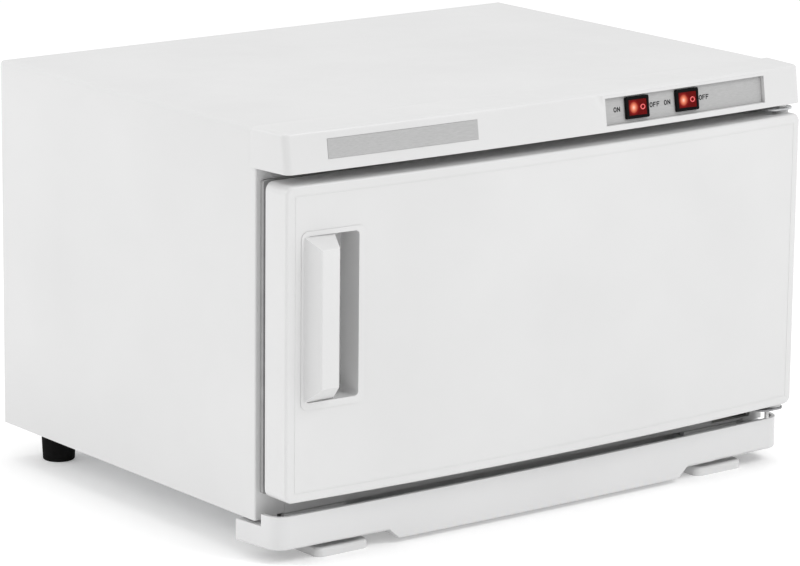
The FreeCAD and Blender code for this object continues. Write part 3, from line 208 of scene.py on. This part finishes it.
def moulded(name, color, roughness, gloss=0.5):
    """Injection-moulded plastic: a very fine spark-eroded grain and slow colour drift."""
    made = Surface(name, color, roughness)
    made.bump(made.noise(0.25 * MM, 2.0), 0.01 * MM, 0.35)
    made.rough(made.noise(18 * MM, 5.0), roughness - 0.05, roughness + 0.07)
    made.tint(made.noise(90 * MM, 3.0), tuple(c * 0.965 for c in color), 1.0)
    return made.set(Specular_IOR_Level=gloss).material


def brushed(name, color, roughness, along=(1.0, 60.0, 60.0), metallic=1.0):
    """Metal or foil with fine scratches along one axis."""
    made = Surface(name, color, roughness, metallic)
    fine = made.noise(9 * MM, 6.0, along)
    made.bump(fine, 0.006 * MM, 0.5)
    made.rough(fine, roughness - 0.08, roughness + 0.12)
    made.tint(fine, tuple(c * 0.82 for c in color), 1.0)
    return made.material


def zinc(name, color):
    """Zinc-plated sheet: faint crystal spangle."""
    made = Surface(name, color, 0.42, 0.9)
    cells = made.cells(6 * MM)
    made.tint(cells, tuple(c * 0.8 for c in color), 1.0, 0.0, 1.0)
    made.rough(cells, 0.34, 0.52)
    made.bump(made.noise(0.6 * MM, 3.0), 0.01 * MM, 0.4)
    return made.material


def mill_aluminium(name, color):
    """Plain rolled sheet: long rolling lines with a few cloudy stains."""
    made = Surface(name, color, 0.38, 1.0)
    lines = made.noise(14 * MM, 5.0, (1.0, 40.0, 40.0))
    made.rough(lines, 0.3, 0.48)
    made.bump(lines, 0.006 * MM, 0.4)
    made.tint(made.noise(45 * MM, 4.0), tuple(c * 0.85 for c in color), 1.0)
    return made.material


def polished(name, color, roughness):
    """Plated steel with faint wipe marks."""
    made = Surface(name, color, roughness, 1.0)
    made.rough(made.noise(5 * MM, 5.0), roughness, roughness + 0.14)
    made.bump(made.noise(1.2 * MM, 3.0), 0.004 * MM, 0.4)
    made.tint(made.noise(3 * MM, 4.0), tuple(c * 0.88 for c in color), 0.8)
    return made.material


def rubbery(name, color, roughness):
    """Rubber or silicone: matt, with a fine grain and dusty patches."""
    made = Surface(name, color, roughness)
    made.bump(made.noise(0.5 * MM, 3.0), 0.03 * MM, 0.5)
    made.rough(made.noise(7 * MM, 4.0), roughness - 0.08, roughness + 0.1)
    made.tint(made.noise(9 * MM, 5.0), tuple(c * 1.25 for c in color), 0.7)
    return made.set(Specular_IOR_Level=0.06).material


def wool(name, color):
    """Glass-fibre board: fibres lying across one another."""
    made = Surface(name, color, 0.95)
    across = made.noise(4 * MM, 6.0, (1.0, 14.0, 14.0))
    along = made.noise(4 * MM, 6.0, (14.0, 1.0, 14.0))
    made.bump(across, 0.4 * MM, 0.6).bump(along, 0.4 * MM, 0.6)
    made.tint(across, tuple(c * 0.75 for c in color), 1.0)
    made.tint(made.noise(30 * MM, 3.0), tuple(c * 1.08 for c in color), 0.6)
    return made.material


def fired(name, color):
    """Glazed ceramic with a slight speckle."""
    made = Surface(name, color, 0.3)
    made.tint(made.noise(0.8 * MM, 2.0), tuple(c * 0.8 for c in color), 0.8, 0.62, 0.72)
    made.bump(made.noise(3 * MM, 2.0), 0.03 * MM, 0.3)
    made.rough(made.noise(6 * MM, 3.0), 0.22, 0.38)
    return made.material


def lamination(name, color):
    """Stacked iron sheets under varnish."""
    made = Surface(name, color, 0.5, 0.5)
    sheets = made.node("ShaderNodeTexWave", bands_direction="X")
    made.link(made.place, sheets.inputs["Vector"])
    sheets.inputs["Scale"].default_value = 1.0 / (6.0 * MM)
    sheets.inputs["Distortion"].default_value = 0.4
    made.bump(sheets.outputs["Fac"], 0.1 * MM, 0.6)
    made.tint(sheets.outputs["Fac"], tuple(c * 0.6 for c in color), 1.0)
    made.rough(made.noise(4 * MM, 4.0), 0.35, 0.6)
    return made.material


def braided(name, color):
    """Glass-fibre sleeve woven on the bias."""
    made = Surface(name, color, 0.75)
    weave = made.node("ShaderNodeTexBrick")
    weave.inputs["Scale"].default_value = 1.0 / (1.6 * MM)
    weave.inputs["Color1"].default_value = (1.0, 1.0, 1.0, 1.0)
    weave.inputs["Color2"].default_value = (0.6, 0.6, 0.6, 1.0)
    weave.inputs["Mortar"].default_value = (0.0, 0.0, 0.0, 1.0)
    made.link(made.place, weave.inputs["Vector"])
    made.bump(weave.outputs["Color"], 0.15 * MM, 0.7)
    made.tint(weave.outputs["Color"], tuple(c + 0.1 for c in color), 0.6, 0.0, 1.0)
    made.rough(made.noise(3 * MM, 3.0), 0.65, 0.85)
    return made.material


def clear_tube(name, color):
    """Lamp glass, faintly frosted in patches by a phosphor-like haze."""
    made = Surface(name, color, 0.08)
    made.rough(made.noise(10 * MM, 4.0), 0.05, 0.16)
    made.bump(made.noise(6 * MM, 2.0), 0.02 * MM, 0.3)
    made.tint(made.noise(25 * MM, 3.0), (0.75, 0.8, 0.95), 0.6)
    return made.set(Transmission_Weight=0.75, IOR=1.46).material


def lit_rocker(name, color, pivot):
    """Translucent red rocker with a lamp behind its left half; pivot is its hinge's place."""
    made = Surface(name, color, 0.22)
    made.bump(made.noise(0.3 * MM, 2.0), 0.01 * MM, 0.35)
    made.rough(made.noise(3 * MM, 3.0), 0.18, 0.3)
    away = made.node("ShaderNodeVectorMath", operation="SUBTRACT")
    away.inputs[1].default_value = (pivot[0] + SPOT_ACROSS, 0.0, pivot[2] + SPOT_UP)
    made.link(made.place, away.inputs[0])
    scaled = made.node("ShaderNodeVectorMath", operation="MULTIPLY")
    scaled.inputs[1].default_value = (1.0 / SPOT_HALF_WIDE, 0.0, 1.0 / SPOT_HALF_TALL)
    made.link(away.outputs["Vector"], scaled.inputs[0])
    reach = made.node("ShaderNodeVectorMath", operation="LENGTH")
    made.link(scaled.outputs["Vector"], reach.inputs[0])
    ramp = made.node("ShaderNodeValToRGB")
    stops = ramp.color_ramp.elements
    stops[0].color = GLOW_MIDDLE
    stops[1].color = GLOW_RIM
    for position, shade in GLOW_BETWEEN:
        stops.new(position).color = shade
    made.link(reach.outputs["Value"], ramp.inputs["Fac"])
    made.link(ramp.outputs["Color"], made.shader.inputs["Emission Color"])
    made.tint(made.noise(4 * MM, 2.0), tuple(c * 0.7 for c in color), 0.8)
    return made.set(Emission_Strength=GLOW_STRENGTH, Specular_IOR_Level=0.1).material


def glowing(name, color, strength):
    """A small neon lamp."""
    made = Surface(name, color, 0.25)
    made.tint(made.noise(1.5 * MM, 3.0), (1.0, 0.75, 0.35), 0.9)
    made.bump(made.noise(1.0 * MM, 2.0), 0.02 * MM, 0.3)
    made.set(Emission_Color=(*color, 1.0), Emission_Strength=strength)
    return made.material


# ---- camera, light and floor ----
def make_camera():
    """The camera at the viewpoint of the photograph, with no shift and no depth of field."""
    data = bpy.data.cameras.new("camera")
    data.lens = CAMERA_LENS
    data.sensor_width = CAMERA_SENSOR
    data.clip_end = CAMERA_FAR
    forward = Vector((
        math.sin(CAMERA_YAW) * math.cos(CAMERA_PITCH),
        math.cos(CAMERA_YAW) * math.cos(CAMERA_PITCH),
        -math.sin(CAMERA_PITCH),
    ))
    level = Vector((math.cos(CAMERA_YAW), -math.sin(CAMERA_YAW), 0.0))
    down = forward.cross(level)
    right = level * math.cos(CAMERA_ROLL) + down * math.sin(CAMERA_ROLL)
    turn = Matrix((right, right.cross(forward), -forward)).transposed()
    camera = bpy.data.objects.new("camera", data)
    camera.matrix_world = Matrix.Translation(CAMERA_AT) @ turn.to_4x4()
    bpy.context.scene.collection.objects.link(camera)
    bpy.context.scene.camera = camera


def area_light(name, place, aim, size, watts):
    """A soft square lamp at place, facing aim."""
    data = bpy.data.lights.new(name, "AREA")
    data.shape = "SQUARE"
    data.size = size
    data.energy = watts
    lamp = bpy.data.objects.new(name, data)
    lamp.location = place
    lamp.rotation_mode = "QUATERNION"
    lamp.rotation_quaternion = (Vector(aim) - Vector(place)).to_track_quat("-Z", "Y")
    bpy.context.scene.collection.objects.link(lamp)


def make_light():
    """An even white room with soft boxes above, at the left and in front."""
    world = bpy.data.worlds.new("white_room")
    world.use_nodes = True
    background = world.node_tree.nodes["Background"]
    background.inputs["Color"].default_value = (1.0, 1.0, 1.0, 1.0)
    background.inputs["Strength"].default_value = ROOM_STRENGTH
    bpy.context.scene.world = world
    middle = (cad_low + cad_high) / 2
    for name, place, size, watts in SOFT_BOXES:
        area_light(name, place, middle, size, watts)
    bpy.context.scene.view_settings.view_transform = "Standard"


def make_floor():
    """A plain pale floor, with a barely visible drift so that it isn't one flat value."""
    bpy.ops.mesh.primitive_plane_add(size=FLOOR_SIDE, location=(0.0, 0.0, cad_low.z))
    floor = bpy.context.object
    floor.name = "floor"
    paper = Surface("floor_paper", (0.9, 0.9, 0.9), 0.9)
    paper.tint(paper.noise(1.5, 2.0), (0.91, 0.91, 0.91), 1.0)
    paper.set(Emission_Color=(1.0, 1.0, 1.0, 1.0), Emission_Strength=FLOOR_GLOW)
    floor.data.materials.append(paper.material)


# ---- looks of the CAD pieces ----
# One look for each material slot of the record. The rockers have looks of their own instead.
LOOKS = {
    "housing_paint": powder_coat("housing_paint_look", (0.66, 0.66, 0.66)),
    "galvanised": zinc("zinc_look", (0.62, 0.63, 0.64)),
    "white_plastic": moulded("white_plastic_look", (0.655, 0.655, 0.655), 0.34),
    "tray_plastic": moulded("tray_plastic_look", (0.66, 0.66, 0.662), 0.38),
    "silver_plate": brushed("silver_plate_look", (0.47, 0.47, 0.47), 0.55, metallic=0.25),
    "black_plastic": moulded("black_plastic_look", (0.005, 0.005, 0.0055), 0.4, gloss=0.05),
    "neon_glass": glowing("neon_look", (1.0, 0.4, 0.12), 4.0),
    "aluminium": mill_aluminium("aluminium_look", (0.74, 0.75, 0.76)),
    "silicone_heater": rubbery("heater_look", (0.42, 0.1, 0.06), 0.6),
    "insulation": wool("wool_look", (0.8, 0.77, 0.68)),
    "thermostat_case": moulded("phenolic_look", (0.05, 0.035, 0.03), 0.45),
    "ceramic": fired("ceramic_look", (0.82, 0.8, 0.74)),
    "lamp_glass": clear_tube("lamp_glass_look", (0.9, 0.93, 0.98)),
    "lamp_holder": moulded("lamp_holder_look", (0.78, 0.78, 0.75), 0.45),
    "ballast_iron": lamination("ballast_look", (0.16, 0.16, 0.17)),
    "wire_sleeve": braided("sleeve_look", (0.06, 0.06, 0.065)),
    "chrome_wire": polished("chrome_look", (0.78, 0.78, 0.8), 0.1),
    "hinge_steel": polished("hinge_steel_look", (0.68, 0.68, 0.67), 0.22),
    "rubber_foot": rubbery("foot_rubber_look", (0.006, 0.006, 0.006), 0.8),
    "gasket_silicone": rubbery("gasket_look", (0.33, 0.33, 0.33), 0.6),
    "strike_steel": brushed("strike_look", (0.56, 0.56, 0.57), 0.3),
    "bush_white": moulded("bush_white_look", (0.66, 0.66, 0.66), 0.45),
    "screw_steel": polished("screw_look", (0.66, 0.66, 0.66), 0.2),
}


PIVOTS = {joint["child"]: joint for joint in frame["record"]["behaviour"]["joints"]}
ROCKERS = ("heat_rocker", "uv_rocker")


def dress_cad():
    """Every CAD piece gets the look of its slot, and a few have one of their own."""
    own = {
        node: lit_rocker(f"{node}_look", (0.09, 0.002, 0.002), PIVOTS[node]["pos_m"])
        for node in ROCKERS
    }
    # Painted shade: the lower hinge bracket gets a zinc look about half as bright as the galvanised
    # one. It stands for the shadow under the door's bottom hinge bush.
    own["hinge_bracket_bottom"] = zinc("lower_bracket_painted_shade_look", (0.3, 0.3, 0.31))
    # Painted light: the handle cup is a touch lighter than the white plastic, to brighten its shaded
    # recess.
    own["handle_cup"] = moulded("handle_look", (0.665, 0.665, 0.665), 0.36)
    for part in frame["record"]["subparts"]:
        node = part["node"]
        piece = nodes[node]
        piece.data.materials.clear()
        piece.data.materials.append(own[node] if node in own else LOOKS[part["material_slot"]])


# ---- marks by the switches ----
def switch_frame(node):
    """Matrix from a switch's own axes (right, inwards, up; metres, at its pivot) to the row frame."""
    joint = PIVOTS[node]
    right = Vector((1.0, 0.0, 0.0))
    up = Vector(joint["axis"]).normalized()
    turn = Matrix((right, up.cross(right), up)).transposed()
    return Matrix.Translation(joint["pos_m"]) @ turn.to_4x4()


def stroke_mesh(name, strokes, width, depth):
    """Flat bars along strokes, each a list of (x, z) points, standing depth out of the plane."""
    vertices = []
    faces = []
    for points in strokes:
        for (x0, z0), (x1, z1) in zip(points, points[1:]):
            along = Vector((x1 - x0, 0.0, z1 - z0)).normalized()
            side = Vector((-along.z, 0.0, along.x)) * width / 2
            start = Vector((x0, 0.0, z0)) - along * width / 2
            end = Vector((x1, 0.0, z1)) + along * width / 2
            first = len(vertices)
            for y in (0.0, -depth):
                lift = Vector((0.0, y, 0.0))
                vertices += [
                    start - side + lift, end - side + lift,
                    end + side + lift, start + side + lift,
                ]
            a, b, c, d, e, f, g, h = range(first, first + 8)
            faces += [
                (a, b, c, d), (h, g, f, e),
                (a, e, f, b), (b, f, g, c), (c, g, h, d), (d, h, e, a),
            ]
    mesh = bpy.data.meshes.new(name)
    mesh.from_pydata(vertices, [], faces)
    return mesh


def add_piece(name, mesh, place, body, look):
    """A new piece set at place, riding on body."""
    piece = bpy.data.objects.new(name, mesh)
    bpy.context.scene.collection.objects.link(piece)
    mesh.transform(place)
    mesh.materials.append(look)
    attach(piece, body)
    return piece


def letter_strokes(word, left):
    """Block capitals O, N and F as strokes on a grid, starting at left."""
    tall = LETTER_TALL / 2
    wide = LETTER_WIDE
    near = wide * 0.3
    far = wide * 0.7
    shoulder = tall * 0.5
    shapes = {
        "O": [[
            (0, -shoulder), (0, shoulder), (near, tall), (far, tall), (wide, shoulder),
            (wide, -shoulder), (far, -tall), (near, -tall), (0, -shoulder),
        ]],
        "N": [[(0, -tall), (0, tall), (wide, -tall), (wide, tall)]],
        "F": [[(0, -tall), (0, tall), (wide, tall)], [(0, 0), (wide * 0.8, 0)]],
    }
    strokes = []
    for index, letter in enumerate(word):
        shift = left + index * LETTER_PITCH
        strokes += [[(x + shift, z) for x, z in points] for points in shapes[letter]]
    return strokes


def plate_frame(node, across):
    """Matrix standing on the switch plate, across metres to the right of one switch."""
    switch = switch_frame(node)
    inward = switch.to_3x3() @ Vector((0.0, 1.0, 0.0))
    start = switch @ Vector((across, PROBE_START, 0.0))
    _, where, facing, _ = nodes["switch_plate"].ray_cast(start, inward)
    up = Vector(PIVOTS[node]["axis"]).normalized()
    right = (-facing).cross(up)
    turn = Matrix((right, up.cross(right), up)).transposed()
    return Matrix.Translation(where) @ turn.to_4x4()


def add_letters(node):
    """Plain ON and OFF on the plate at either side of one switch."""
    for word, centre in (("ON", -MARK_CENTRE), ("OFF", MARK_CENTRE)):
        width = LETTER_PITCH * (len(word) - 1) + LETTER_WIDE
        name = f"{node}_{word.lower()}"
        mesh = stroke_mesh(name, letter_strokes(word, -width / 2), LETTER_STROKE, INK_HEIGHT)
        ink = moulded(f"{name}_ink_look", (0.006, 0.006, 0.007), 0.6, gloss=0.03)
        add_piece(name, mesh, plate_frame(node, centre), "cabinet", ink)


def add_ring(node):
    """A pink ring on the raised half of one rocker."""
    steps = [2 * math.pi * i / RING_SIDES for i in range(RING_SIDES + 1)]
    points = [
        (RING_RADIUS * math.cos(a), RING_STRETCH * RING_RADIUS * math.sin(a)) for a in steps
    ]
    mesh = stroke_mesh(f"{node}_ring", [points], RING_STROKE, RING_HEIGHT)
    pink = Surface(f"{node}_ring_look", (0.6, 0.13, 0.14), 0.4)
    pink.tint(pink.noise(1.0 * MM, 2.0), (0.68, 0.2, 0.2), 1.0)
    pink.bump(pink.noise(0.3 * MM, 2.0), 0.005 * MM, 0.3)
    pink.set(Emission_Color=(1.0, 0.2, 0.2, 1.0), Emission_Strength=0.35)
    place = (
        switch_frame(node)
        @ Matrix.Translation(RING_AT)
        @ Matrix.Rotation(-RAISED_ANGLE, 4, "Z")
    )
    add_piece(f"{node}_ring", mesh, place, node, pink.material)


make_camera()
make_light()
make_floor()
dress_cad()
for rocker in ROCKERS:
    add_letters(rocker)
    add_ring(rocker)
